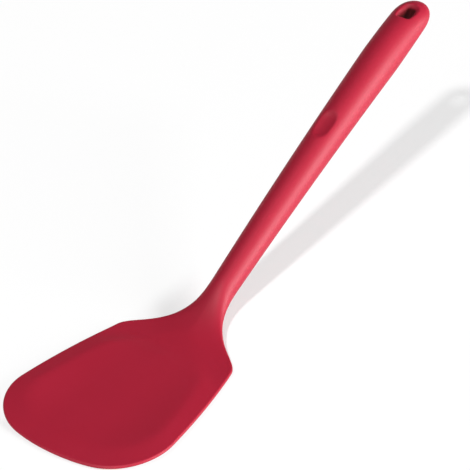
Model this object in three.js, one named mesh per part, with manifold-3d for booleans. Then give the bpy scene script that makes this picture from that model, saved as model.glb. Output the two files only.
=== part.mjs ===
// Silicone turner: one silicone skin moulded over a riveted steel core, in millimetres, +Z up
import * as THREE from 'three';
import { mergeVertices } from 'three/addons/utils/BufferGeometryUtils.js';
import Module from 'manifold-3d';

const wasm = await Module();
wasm.setup();

const { clamp, degToRad, lerp, smoothstep } = THREE.MathUtils;

// Lengths along the turner as if it were laid flat, from the front edge of the blade
const overallLength = 340;
const bladeLength = 95.4;
const neckLength = 47.1;

// Blade plan
const bladeWidth = 91.7;
const frontArcRadius = 103.3;
const frontCornerRadius = 29.8;
const sideArcRadius = 404;
const shoulderWidth = 70.4;
const shoulderRadius = 9.4;

// Neck plan: the angle at which the shoulders turn in, and how hard each end pulls the curve
const shoulderTurn = 20.6;
const shoulderPull = 0.241;
const neckPull = 0.69;

// Blade section: flat in the middle, sides that rise, and a border bevelled down to the edge
const bladeThickness = 3.4;
const edgeThickness = 1.8;
const borderWidth = 10;
const creaseSoftness = 0.15;
const flatWidth = 22;
const sideRise = 2.5;

// Handle sections
const neckWidth = 14.2;
const neckDepth = 13.7;
const handleWidth = 21.1;
const handleDepth = 19.2;
const widestFromTail = 43.9;
const tailRounding = 15.3;
const tailTaper = 49.7;
const tailPlanPower = 2.51;
const tailTaperPower = 2.4;

// Spine: the heel turns the handle up behind the blade, and the handle arches back a little
const heelLead = 5.8;
const heelRun = 42.8;
const handleRise = 26.8;
const handleArch = 5.1;

// Thumb rest, an oval hollow on top of the handle
const thumbFromTail = 96.7;
const thumbLength = 20.5;
const thumbWidth = 10.4;
const thumbSag = 0.7;
const thumbLift = 6;

// Hang hole through the tail, square across its near end and flared towards both mouths
const holeFromTail = 12.4;
const holeLength = 11.6;
const holeWidth = 8.2;
const holeCornerRadius = 2;
const holeFarRadius = 3.2;
const holeFlare = 1.1;

// Steel core: a sprung blade plate lapped over a handle bar
const plateThickness = 0.8;
const plateWidth = 46;
const plateSetback = 26;
const plateCornerRadius = 12;
const plateTaperLead = 22;
const plateTaperRun = 38;
const barCover = 2;
const barThickness = 2.5;
const barTailGap = 6;
const lapLength = 24;
const joggleRun = 26;

// Bonding holes that the silicone keys through
const plateHoleDiameter = 8;
const plateHoleMargin = 10;
const plateHoleRows = 3;
const barHoleDiameter = 4.5;
const barHoleMargin = 14;
const barHoleCount = 6;

// Rivets through the lap
const rivetPitch = 12;
const rivetDiameter = 3;
const rivetHeadDiameter = 6;
const rivetHeadHeight = 0.8;

// Plugs in the holes left by the mould pins, and the gap that separates neighbouring pieces
const pinHoleDiameter = 5;
const clearance = 0.3;

// Fineness of the curved surfaces
const bladeSteps = 26;
const shoulderSteps = 4;
const neckSteps = 10;
const handleSteps = 11;
const tailSteps = 9;
const innerRibSteps = 6;
const edgeRibSteps = 3;
const ribCrowding = 1.5;
const roundSides = 16;
const ovalSides = 36;
const mouthSteps = 14;
const mouthCurveSteps = 6;
const plateCornerSteps = 5;
const plateStripSteps = 22;
const barSteps = 12;

// Places that follow from the sizes
const neckEnd = bladeLength + neckLength;
const heelStart = bladeLength - heelLead;
const heelEnd = heelStart + heelRun;
const widestAt = overallLength - widestFromTail;
const holeCentre = overallLength - holeFromTail;
const thumbCentre = overallLength - thumbFromTail;
const lapStart = neckEnd - lapLength / 2;
const lapEnd = neckEnd + lapLength / 2;
const barEnd = holeCentre - holeLength / 2 - barTailGap;
const lapHeight = (barThickness + plateThickness) / 2 + clearance;
const barWidth = neckWidth - 2 * barCover;
const plateTaperStart = bladeLength - plateTaperLead;
const ribSteps = innerRibSteps + edgeRibSteps;

// Shapes to solids and back
function solid(geometry) {
  const bare = geometry.clone();
  bare.deleteAttribute('normal');
  bare.deleteAttribute('uv');
  const merged = mergeVertices(bare);
  const corners = merged.index.array;
  const triVerts = [];
  for (let k = 0; k < corners.length; k += 3) {
    const [a, b, c] = corners.slice(k, k + 3);
    if (a !== b && b !== c && c !== a) triVerts.push(a, b, c);
  }
  const vertProperties = merged.attributes.position.array;
  const mesh = new wasm.Mesh({ numProp: 3, vertProperties, triVerts: Uint32Array.from(triVerts) });
  return new wasm.Manifold(mesh);
}

function geometryOf(body) {
  const mesh = body.getMesh();
  const geometry = new THREE.BufferGeometry();
  geometry.setAttribute('position', new THREE.BufferAttribute(mesh.vertProperties, 3));
  geometry.setIndex(new THREE.BufferAttribute(mesh.triVerts, 1));
  geometry.computeVertexNormals();
  return geometry;
}

function facets(quads) {
  const corners = quads.flatMap(([a, b, c, d]) => [a, b, c, a, c, d]);
  return new THREE.BufferGeometry().setFromPoints(corners);
}

// Closed skin through convex rings that all turn the same way about the direction of the loft
function loft(rings) {
  const quads = [];
  const sides = rings[0].length;
  for (let k = 0; k < rings.length - 1; k++) {
    for (let i = 0; i < sides; i++) {
      const j = (i + 1) % sides;
      quads.push([rings[k][i], rings[k][j], rings[k + 1][j], rings[k + 1][i]]);
    }
  }
  const first = rings[0].toReversed();
  const last = rings[rings.length - 1];
  for (const ring of [first, last]) {
    const middle = ring.reduce((sum, p) => sum.add(p), new THREE.Vector3()).divideScalar(sides);
    ring.forEach((p, i) => quads.push([middle, p, ring[(i + 1) % sides], middle]));
  }
  return facets(quads);
}

function spaced(from, to, steps) {
  return Array.from({ length: steps + 1 }, (_, k) => lerp(from, to, k / steps));
}

// Bending the flat layout along the spine
function advance(from, run, turn) {
  const chord = turn === 0 ? run : (run * Math.sin(turn / 2)) / (turn / 2);
  const heading = from.tilt + turn / 2;
  return {
    x: from.x + chord * Math.cos(heading),
    z: from.z + chord * Math.sin(heading),
    tilt: from.tilt + turn,
  };
}

function spineAt(x) {
  const level = { x: Math.min(x, heelStart), z: 0, tilt: 0 };
  const heel = clamp(x - heelStart, 0, heelRun);
  const handle = Math.max(x - heelEnd, 0);
  const raised = advance(level, heel, (degToRad(handleRise) * heel) / heelRun);
  return advance(raised, handle, (-degToRad(handleArch) * handle) / (overallLength - heelEnd));
}

function bent(x, y, z) {
  const spine = spineAt(x);
  return new THREE.Vector3(
    spine.x - z * Math.sin(spine.tilt),
    y,
    spine.z + z * Math.cos(spine.tilt),
  );
}

// Stands a geometry made about the z axis square to the bent layout at a place on it
function stood(geometry, x, y, z) {
  const place = bent(x, y, z);
  return geometry.clone().rotateY(-spineAt(x).tilt).translate(place.x, place.y, place.z);
}

// Half widths and half depths of the handle, which closes to a point at the tail
function tailClosing(x, run, power) {
  const share = clamp((x - overallLength + run) / run, 0, 1);
  return Math.sqrt(1 - share ** power);
}

function handleHalfWidth(x) {
  const share = clamp((x - neckEnd) / (widestAt - neckEnd), 0, 1);
  return (lerp(neckWidth, handleWidth, share) / 2) * tailClosing(x, tailRounding, tailPlanPower);
}

function handleHalfDepth(x) {
  const share = clamp((x - neckEnd) / (widestAt - neckEnd), 0, 1);
  return (lerp(neckDepth, handleDepth, share) / 2) * tailClosing(x, tailTaper, tailTaperPower);
}

// Plan curves
function polar(angle, radius) {
  return new THREE.Vector2(Math.cos(angle), Math.sin(angle)).multiplyScalar(radius);
}

function arc(centre, radius, from, to) {
  return new THREE.EllipseCurve(centre.x, centre.y, radius, radius, from, to, true);
}

function facing(centre, point) {
  return point.clone().sub(centre).angle();
}

// Point at a given distance from each of two others, on the right hand going from one to the other
function triangulated(a, fromA, b, fromB) {
  const span = b.clone().sub(a);
  const along = (span.lengthSq() + fromA ** 2 - fromB ** 2) / (2 * span.length());
  const aside = Math.sqrt(fromA ** 2 - along ** 2);
  const ahead = span.normalize();
  const right = new THREE.Vector2(ahead.y, -ahead.x);
  return a.clone().addScaledVector(ahead, along).addScaledVector(right, aside);
}

// Plan of one side as ribs that run from the middle line out to the edge
function planRibs() {
  const frontCentre = new THREE.Vector2(frontArcRadius, 0);
  const cornerY = bladeWidth / 2 - frontCornerRadius;
  const cornerX = frontArcRadius - Math.sqrt((frontArcRadius - frontCornerRadius) ** 2 - cornerY ** 2);
  const corner = new THREE.Vector2(cornerX, cornerY);
  const shoulder = new THREE.Vector2(bladeLength, shoulderWidth / 2);

  // The side rolls out of the corner and runs to the shoulder
  const sideCentre = triangulated(corner, sideArcRadius - frontCornerRadius, shoulder, sideArcRadius);

  // Directions that the edge faces at the joins between its arcs
  const frontFacing = facing(frontCentre, corner);
  const sideFacing = facing(sideCentre, corner);
  const shoulderFacing = facing(sideCentre, shoulder);
  const neckFacing = Math.PI / 2 - degToRad(shoulderTurn);

  const halfTurn = (shoulderFacing - neckFacing) / 2;
  const filletOffset = polar(neckFacing + halfTurn, shoulderRadius / Math.cos(halfTurn));
  const shoulderArc = arc(shoulder.clone().sub(filletOffset), shoulderRadius, shoulderFacing, neckFacing);
  const sideEnd = facing(sideCentre, shoulderArc.getPoint(0));

  const bladeEdge = new THREE.CurvePath();
  bladeEdge.add(arc(frontCentre, frontArcRadius, Math.PI, frontFacing));
  bladeEdge.add(arc(corner, frontCornerRadius, frontFacing, sideFacing));
  bladeEdge.add(arc(sideCentre, sideArcRadius, sideFacing, sideEnd));

  const neckFrom = shoulderArc.getPoint(1);
  const neckTo = new THREE.Vector2(neckEnd, neckWidth / 2);
  const pull = neckEnd - neckFrom.x;
  const handleSlope = (handleWidth - neckWidth) / 2 / (widestAt - neckEnd);
  const neckCurve = new THREE.CubicBezierCurve(
    neckFrom,
    polar(-degToRad(shoulderTurn), shoulderPull * pull).add(neckFrom),
    new THREE.Vector2(1, handleSlope).multiplyScalar(-neckPull * pull).add(neckTo),
    neckTo,
  );

  // Blade ribs fan out from a point on the middle line, so the front edge closes on itself
  const fanFrom = cornerX;
  const fanTo = shoulderArc.getPoint(0).x;
  const bladeRibs = bladeEdge.getSpacedPoints(bladeSteps).map((edge, k) => {
    return { root: lerp(fanFrom, fanTo, k / bladeSteps), edge };
  });

  const closingStart = overallLength - tailRounding;
  const straightX = spaced(neckEnd, closingStart, handleSteps).slice(1);
  const closingAngles = spaced(0, Math.PI / 2, tailSteps).slice(1);
  const closingX = closingAngles.map((angle) => closingStart + tailRounding * Math.sin(angle));
  const shoulderEdge = shoulderArc.getPoints(shoulderSteps).slice(1);
  const neckEdge = neckCurve.getPoints(neckSteps).slice(1);
  const handleEdge = [...straightX, ...closingX].map((x) => new THREE.Vector2(x, handleHalfWidth(x)));
  const squareEdge = [...shoulderEdge, ...neckEdge, ...handleEdge];
  const squareRibs = squareEdge.map((edge) => ({ root: edge.x, edge }));
  return [...bladeRibs, ...squareRibs];
}

// Climb from 0 at the edge to 1 past the crease, where the border meets the dished middle
function borderClimb(inset) {
  const climb = inset / borderWidth;
  return (climb + 1 - Math.hypot(climb - 1, creaseSoftness)) / 2;
}

// Heights of the blade's faces at a place in plan, given its distance from the edge
function bladeFaces(y, inset) {
  const edgeRadius = edgeThickness / 2;
  const rise = sideRise * (Math.max(y - flatWidth / 2, 0) / ((bladeWidth - flatWidth) / 2)) ** 2;
  const thickness = lerp(edgeThickness, bladeThickness, borderClimb(inset));
  const rounding = Math.sqrt(1 - Math.max(1 - inset / edgeRadius, 0) ** 2);
  const middle = rise + (thickness - bladeThickness) / 2;
  const half = (thickness / 2) * rounding;
  return { upper: middle + half, lower: middle - half };
}

// Points on one rib, from the middle line to the edge, on the upper and the lower face
function ribSection({ root, edge }) {
  const span = Math.hypot(edge.x - root, edge.y);
  const roundness = smoothstep(edge.x, bladeLength, neckEnd);
  const depth = edge.x < neckEnd ? lerp(bladeThickness, neckDepth, roundness) / 2 : handleHalfDepth(edge.x);
  const rim = Math.min(edgeThickness / 2 / span, 1);
  const upper = [];
  const lower = [];
  for (let k = 0; k <= ribSteps; k++) {
    const inner = Math.min(k / innerRibSteps, 1);
    const outer = Math.max(k - innerRibSteps, 0) / edgeRibSteps;
    const bladeShare = (1 - rim) * (1 - (1 - inner) ** ribCrowding) + rim * Math.sin((outer * Math.PI) / 2);
    const share = lerp(bladeShare, Math.sin(((k / ribSteps) * Math.PI) / 2), roundness);
    const x = lerp(root, edge.x, share);
    const y = edge.y * share;
    const blade = bladeFaces(y, span * (1 - share));
    const round = depth * Math.sqrt(1 - Math.min(share, 1) ** 2);
    upper.push(new THREE.Vector3(x, y, lerp(blade.upper, round, roundness)));
    lower.push(new THREE.Vector3(x, y, lerp(blade.lower, -round, roundness)));
  }
  return { upper, lower };
}

// Outer form of the skin: blade, neck and handle in one closed surface
function bodyGeometry() {
  const ribs = planRibs().map(ribSection);
  const quads = [];
  for (let i = 0; i < ribs.length - 1; i++) {
    for (let k = 0; k < ribSteps; k++) {
      for (const face of ['upper', 'lower']) {
        for (const side of [1, -1]) {
          const near = ribs[i][face];
          const far = ribs[i + 1][face];
          const corners = [near[k], far[k], far[k + 1], near[k + 1]];
          const [a, b, c, d] = corners.map((p) => bent(p.x, side * p.y, p.z));
          const outwards = (face === 'upper') === (side === 1);
          quads.push(outwards ? [a, b, c, d] : [a, d, c, b]);
        }
      }
    }
  }
  return facets(quads);
}

// Oval hollow whose rim is as long and as wide as the thumb rest on the round handle
function thumbCutter() {
  const crest = handleHalfDepth(thumbCentre);
  const rimDrop = crest * (1 - Math.sqrt(1 - (thumbWidth / 2 / handleHalfWidth(thumbCentre)) ** 2));
  const reach = thumbLift + rimDrop + thumbSag;
  const halfLength = thumbLength / 2 / Math.sqrt(1 - (thumbLift / reach) ** 2);
  const halfWidth = thumbWidth / 2 / Math.sqrt(1 - ((thumbLift + rimDrop) / reach) ** 2);
  const oval = new THREE.SphereGeometry(1, ovalSides, ovalSides);
  oval.scale(halfLength, reach, halfWidth).rotateX(Math.PI / 2);
  return stood(oval, thumbCentre, 0, crest + thumbLift);
}

// Hang hole: the near end stays upright while the sides and the far end flare
function holeCutter() {
  const near = -holeLength / 2;
  const mouth = handleHalfDepth(holeCentre + near);
  const reach = mouth + holeFlare;
  const rings = spaced(-reach, reach, mouthSteps).map((z) => {
    const flare = holeFlare * smoothstep(Math.abs(z), mouth / 3, mouth);
    const radius = holeWidth / 2 + flare;
    const cornerX = near + holeCornerRadius;
    const cornerY = radius - holeCornerRadius;
    const farRadius = holeFarRadius + flare;
    const farX = holeLength / 2 - holeFarRadius;
    const farY = holeWidth / 2 - holeFarRadius;
    const outline = new THREE.Shape();
    outline.absarc(farX, -farY, farRadius, -Math.PI / 2, 0, false);
    outline.absarc(farX, farY, farRadius, 0, Math.PI / 2, false);
    outline.absarc(cornerX, cornerY, holeCornerRadius, Math.PI / 2, Math.PI, false);
    outline.absarc(cornerX, -cornerY, holeCornerRadius, Math.PI, -Math.PI / 2, false);
    return outline.getPoints(mouthCurveSteps).map((p) => new THREE.Vector3(p.x, p.y, z));
  });
  return stood(loft(rings), holeCentre, 0, 0);
}

// Cross section of a flat strip that follows the bent layout
function stripRing(x, halfWidth, middle, halfThickness) {
  const corners = [[1, -1], [1, 1], [-1, 1], [-1, -1]];
  return corners.map(([side, face]) => bent(x, side * halfWidth, middle + face * halfThickness));
}

// Round pin square to the bent layout
function pin(x, y, z, diameter, height) {
  const round = new THREE.CylinderGeometry(diameter / 2, diameter / 2, height, roundSides);
  return solid(stood(round.rotateX(Math.PI / 2), x, y, z));
}

// Blade plate: a paddle drawn in to a stem that steps up on to the handle bar
function plateMiddle(x) {
  return lapHeight * smoothstep(x, lapStart - joggleRun, lapStart);
}

function plateHalfWidth(x) {
  const stem = smoothstep(x, plateTaperStart, plateTaperStart + plateTaperRun);
  return lerp(plateWidth, barWidth, stem) / 2;
}

function plateBlank(ease) {
  const front = plateSetback - ease;
  const radius = plateCornerRadius + ease;
  const corner = spaced(0, Math.PI / 2, plateCornerSteps).map((angle) => {
    return { x: front + radius * (1 - Math.cos(angle)), drawnIn: radius * (1 - Math.sin(angle)) };
  });
  const strip = spaced(front + radius, lapEnd + ease, plateStripSteps).slice(1);
  const stations = [...corner, ...strip.map((x) => ({ x, drawnIn: 0 }))];
  const rings = stations.map(({ x, drawnIn }) => {
    return stripRing(x, plateHalfWidth(x) + ease - drawnIn, plateMiddle(x), plateThickness / 2 + ease);
  });
  return solid(loft(rings));
}

const plateHoleX = spaced(plateSetback + plateHoleMargin, plateTaperStart, plateHoleRows - 1);
const plateHoleY = spaced(plateHoleMargin - plateWidth / 2, plateWidth / 2 - plateHoleMargin, 2);

function plateHoles(ease) {
  const height = plateThickness + 4 * clearance;
  const places = plateHoleX.flatMap((x) => plateHoleY.map((y) => [x, y]));
  return places.map(([x, y]) => pin(x, y, 0, plateHoleDiameter - 2 * ease, height));
}

// Handle bar: a flat strip with a row of bonding holes
function barBlank(ease) {
  const stations = spaced(lapStart - ease, barEnd + ease, barSteps);
  const rings = stations.map((x) => stripRing(x, barWidth / 2 + ease, 0, barThickness / 2 + ease));
  return solid(loft(rings));
}

const barHoleX = spaced(lapEnd + barHoleMargin, barEnd - barHoleMargin, barHoleCount - 1);

function barHoles(ease) {
  const height = barThickness + 4 * clearance;
  return barHoleX.map((x) => pin(x, 0, 0, barHoleDiameter - 2 * ease, height));
}

// Rivets: a shank with a flat, chamfered head at each end
const rivetPlaces = {
  core_rivet_front: neckEnd - rivetPitch / 2,
  core_rivet_rear: neckEnd + rivetPitch / 2,
};

function rivetGeometry(ease) {
  const shank = rivetDiameter / 2 + ease;
  const head = rivetHeadDiameter / 2 + ease;
  const chamfer = rivetHeadHeight / 2;
  const under = -barThickness / 2 - clearance + ease;
  const over = lapHeight + plateThickness / 2 + clearance - ease;
  const bottom = under - rivetHeadHeight - 2 * ease;
  const top = over + rivetHeadHeight + 2 * ease;
  const profile = [
    [0, bottom], [head - chamfer, bottom], [head, bottom + chamfer], [head, under],
    [shank, under], [shank, over],
    [head, over], [head, top - chamfer], [head - chamfer, top], [0, top],
  ];
  const points = profile.map(([radius, height]) => new THREE.Vector2(radius, height));
  return new THREE.LatheGeometry(points, roundSides).rotateX(Math.PI / 2);
}

function rivetHoles() {
  const reach = 2 * (lapHeight + plateThickness);
  return Object.values(rivetPlaces).map((x) => pin(x, 0, 0, rivetDiameter + 2 * clearance, reach));
}

// Mould pins stand on the underside of the core, midway between bonding holes
const between = (places, k) => (places[k] + places[k + 1]) / 2;
const pinPlaces = {
  pin_plug_blade: { x: between(plateHoleX, 0), core: plateThickness },
  pin_plug_front: { x: between(barHoleX, 0), core: barThickness },
  pin_plug_middle: { x: between(barHoleX, Math.floor(barHoleCount / 2) - 1), core: barThickness },
  pin_plug_rear: { x: between(barHoleX, barHoleCount - 2), core: barThickness },
};

function pinHole({ x, core }) {
  const top = clearance - core / 2;
  return pin(x, 0, top - handleDepth / 2, pinHoleDiameter, handleDepth);
}

function pinPlug({ x, core }, outerForm) {
  const top = -clearance - core / 2;
  const blank = pin(x, 0, top - handleDepth / 2, pinHoleDiameter - 2 * clearance, handleDepth);
  return blank.intersect(outerForm);
}

// Pieces
function cutAll(body, cutters) {
  return cutters.reduce((rest, cutter) => rest.subtract(cutter), body);
}

function silicone() {
  return new THREE.MeshStandardMaterial({ color: 0xa4202f, roughness: 0.5, metalness: 0 });
}

function steel() {
  return new THREE.MeshStandardMaterial({ color: 0xb9bcc0, roughness: 0.35, metalness: 1 });
}

const body = solid(bodyGeometry());
const rivetSpace = Object.values(rivetPlaces).map((x) => solid(stood(rivetGeometry(clearance), x, 0, 0)));
const coreSpaces = [
  cutAll(plateBlank(clearance), plateHoles(clearance)),
  cutAll(barBlank(clearance), barHoles(clearance)),
  ...rivetSpace,
];
const pinHoles = Object.values(pinPlaces).map(pinHole);
const openings = [solid(thumbCutter()), solid(holeCutter()), ...pinHoles];
const skin = cutAll(body, [...coreSpaces, ...openings]);

const turner = new THREE.Group();

function addPiece(name, geometry, material) {
  const piece = new THREE.Mesh(geometry, material);
  piece.name = name;
  turner.add(piece);
  return piece;
}

const skinPiece = addPiece('silicone_skin', geometryOf(skin), silicone());
addPiece('blade_plate', geometryOf(cutAll(plateBlank(0), [...plateHoles(0), ...rivetHoles()])), steel());
addPiece('handle_core', geometryOf(cutAll(barBlank(0), [...barHoles(0), ...rivetHoles()])), steel());

for (const [name, x] of Object.entries(rivetPlaces)) {
  const rivet = addPiece(name, rivetGeometry(0), steel());
  rivet.position.copy(bent(x, 0, 0));
  rivet.rotation.y = -spineAt(x).tilt;
}

for (const [name, place] of Object.entries(pinPlaces)) {
  addPiece(name, geometryOf(pinPlug(place, body)), silicone());
}

// The origin is under the middle of the turner, on the surface that the blade lies on
const extent = new THREE.Box3().setFromObject(skinPiece);
turner.position.set(-(extent.min.x + extent.max.x) / 2, 0, bladeThickness / 2);

export default turner;
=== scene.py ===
"""Looks of a one-piece silicone turner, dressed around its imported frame, in metres."""

import logging
import math
from dataclasses import dataclass, field
from enum import Enum
from typing import Any, Callable

import bpy
import numpy as np
from bpy.types import Material, Mesh, NodeTree, Object
from mathutils import Euler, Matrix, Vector

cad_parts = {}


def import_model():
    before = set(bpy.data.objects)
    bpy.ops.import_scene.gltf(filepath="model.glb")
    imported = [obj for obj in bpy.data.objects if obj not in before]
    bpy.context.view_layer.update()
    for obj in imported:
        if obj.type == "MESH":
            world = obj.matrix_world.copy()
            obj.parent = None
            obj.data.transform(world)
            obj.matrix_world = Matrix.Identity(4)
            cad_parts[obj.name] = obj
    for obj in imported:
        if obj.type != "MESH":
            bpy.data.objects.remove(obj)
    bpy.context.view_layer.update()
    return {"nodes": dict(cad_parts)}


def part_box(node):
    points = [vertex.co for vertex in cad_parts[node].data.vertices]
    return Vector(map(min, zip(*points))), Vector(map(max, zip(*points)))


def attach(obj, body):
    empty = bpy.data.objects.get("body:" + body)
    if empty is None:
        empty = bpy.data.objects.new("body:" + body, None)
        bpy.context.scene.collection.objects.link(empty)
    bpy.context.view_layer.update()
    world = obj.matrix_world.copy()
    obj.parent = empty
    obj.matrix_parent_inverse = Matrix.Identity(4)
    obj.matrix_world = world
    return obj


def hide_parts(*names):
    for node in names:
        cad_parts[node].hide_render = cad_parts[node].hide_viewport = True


Pair = tuple[float, float]
Triple = tuple[float, float, float]

LOG = logging.getLogger("turner")
BODY = "root"
# Point attribute of depth into the hang hole; the silicone darkens with it as painted shade
HOLLOW_SHADE = "hollow"
QUARTER_TURN = math.pi / 2
CURVE_POINTS = 200
BISECTIONS = 40
HOLE_RUNS = 5
MIRROR = np.array([1.0, -1.0, 1.0])
NOISE_MIDDLE = 0.5
TINY = 1e-9
WHITE = (1.0, 1.0, 1.0, 1.0)
# Sockets of a Mix node that mixes colours
MIX_A, MIX_B, MIX_RESULT = 6, 7, 2


class Face(Enum):
    """The two faces of the turner laid flat, with the sign of their height."""

    UPPER = 1
    LOWER = -1


def lerp(start: Any, end: Any, share: Any) -> Any:
    """Mixes two values, or arrays of values, by a share from 0 to 1."""
    return start + (end - start) * share


def smoothstep(value: Any, low: float, high: float) -> Any:
    """Rises from 0 at low to 1 at high with level ends."""
    share = np.clip((value - low) / (high - low), 0.0, 1.0)
    return share * share * (3.0 - 2.0 * share)


def resampled(points: np.ndarray, steps: int) -> np.ndarray:
    """Spreads steps + 1 points evenly along a polyline, from its first corner to its last."""
    runs = np.linalg.norm(np.diff(points, axis=0), axis=1)
    travelled = np.concatenate([[0.0], np.cumsum(runs)])
    stations = np.linspace(0.0, travelled[-1], steps + 1)
    return np.stack([np.interp(stations, travelled, axis) for axis in points.T], axis=1)


def arc(centre: np.ndarray, radius: float, start: float, end: float) -> np.ndarray:
    """Gives points on a plan arc between two directions from its centre."""
    angles = np.linspace(start, end, CURVE_POINTS)
    return centre + radius * np.stack([np.cos(angles), np.sin(angles)], axis=1)


def facing(centre: np.ndarray, point: np.ndarray) -> float:
    """Gives the direction of a plan point from a centre."""
    return math.atan2(point[1] - centre[1], point[0] - centre[0])


def triangulated(a: np.ndarray, from_a: float, b: np.ndarray, from_b: float) -> np.ndarray:
    """Finds the plan point on the right of the way from a to b by its distances from both."""
    span = np.linalg.norm(b - a)
    ahead = (b - a) / span
    along = (span ** 2 + from_a ** 2 - from_b ** 2) / (2 * span)
    aside = math.sqrt(from_a ** 2 - along ** 2)
    return a + along * ahead + aside * np.array([ahead[1], -ahead[0]])


def linked(name: str, data: Any) -> Object:
    """Makes an object of some data and links it into the scene."""
    made = bpy.data.objects.new(name, data)
    bpy.context.scene.collection.objects.link(made)
    return made


def maths(operation: str, reflected: bool = False) -> Callable:
    """Makes an operator of a wire, which comes second where the form is reflected."""
    def apply(wire: "Wire", other: Any) -> "Wire":
        """Adds the operator's Math node."""
        return wire.math(operation, *((other, wire) if reflected else (wire, other)))
    return apply


class Wire:
    """One output socket of a node tree; arithmetic on it adds Math nodes."""

    def __init__(self, graph: "Graph", socket: bpy.types.NodeSocket) -> None:
        """Keeps the socket and the graph that it belongs to."""
        self.graph = graph
        self.socket = socket

    def math(self, operation: str, *values: Any) -> "Wire":
        """Adds a Math node with these inputs, numbers or wires, and gives its output."""
        return self.graph.add("ShaderNodeMath", {"operation": operation}, dict(enumerate(values)))

    __add__, __radd__ = maths("ADD"), maths("ADD", True)
    __sub__, __rsub__ = maths("SUBTRACT"), maths("SUBTRACT", True)
    __mul__, __rmul__ = maths("MULTIPLY"), maths("MULTIPLY", True)
    __truediv__, __rtruediv__ = maths("DIVIDE"), maths("DIVIDE", True)

    def __neg__(self) -> "Wire":
        """Changes the sign."""
        return self.math("MULTIPLY", self, -1.0)


class Graph:
    """A node tree that is being filled, for a material, a world or a geometry group."""

    def __init__(self, tree: NodeTree) -> None:
        """Empties the tree and keeps it."""
        self.tree = tree
        tree.nodes.clear()

    def add(self, kind: str, settings: dict | None = None, sockets: dict | None = None,
            output: int | str = 0) -> Wire:
        """Adds one node.

        Args:
            kind: The node's type.
            settings: Attributes that are set first; "stops" fills a colour ramp.
            sockets: Values or wires by socket name or index.
            output: The output that the result stands for.

        Returns:
            The chosen output, or a wire with no socket where the node has none.
        """
        node = self.tree.nodes.new(kind)
        for name, value in (settings or {}).items():
            if name == "stops":
                self._fill_ramp(node.color_ramp, value)
            else:
                setattr(node, name, value)
        for key, value in (sockets or {}).items():
            if isinstance(value, Wire):
                self.tree.links.new(value.socket, node.inputs[key])
            else:
                node.inputs[key].default_value = value
        return Wire(self, node.outputs[output] if node.outputs else None)

    def other(self, wire: Wire, output: str) -> Wire:
        """Gives another output of the node that a wire comes from."""
        return Wire(self, wire.socket.node.outputs[output])

    def noise(self, place: Wire, scale: float, detail: float, roughness: float) -> Wire:
        """Adds a noise texture and gives its value."""
        return self.add("ShaderNodeTexNoise", {}, {
            "Vector": place, "Scale": scale, "Detail": detail, "Roughness": roughness})

    def mix(self, factor: Wire, first: Any, second: Any) -> Wire:
        """Adds a mix of two colours."""
        return self.add("ShaderNodeMix", {"data_type": "RGBA", "clamp_factor": True}, {
            "Factor": factor, MIX_A: first, MIX_B: second}, MIX_RESULT)

    def socket(self, name: str, kind: str, default: Any = None, out: bool = False) -> None:
        """Adds a named socket of a kind, such as Float, to the tree's own interface."""
        made = self.tree.interface.new_socket(
            name=name, in_out="OUTPUT" if out else "INPUT", socket_type=f"NodeSocket{kind}")
        if default is not None:
            made.default_value = default

    @staticmethod
    def _fill_ramp(ramp: bpy.types.ColorRamp, stops: list) -> None:
        """Sets a colour ramp's stops from pairs of a place and a colour."""
        while len(ramp.elements) < len(stops):
            ramp.elements.new(1.0)
        for element, (place, colour) in zip(ramp.elements, stops):
            element.position = place
            element.color = (*colour, 1.0)


@dataclass(frozen=True)
class Finish:
    """A procedural finish that makes its own material."""

    name: str

    def material(self) -> Material:
        """Makes the material from the finish's shader."""
        material = bpy.data.materials.new(self.name)
        material.use_nodes = True
        graph = Graph(material.node_tree)
        graph.add("ShaderNodeOutputMaterial", {}, {"Surface": self.shader(graph)})
        return material

    def shader(self, graph: Graph) -> Wire:
        """Adds the nodes of the finish, which each kind of finish does its own way.

        Args:
            graph: The material's graph.

        Returns:
            The surface shader.
        """
        raise NotImplementedError


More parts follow.
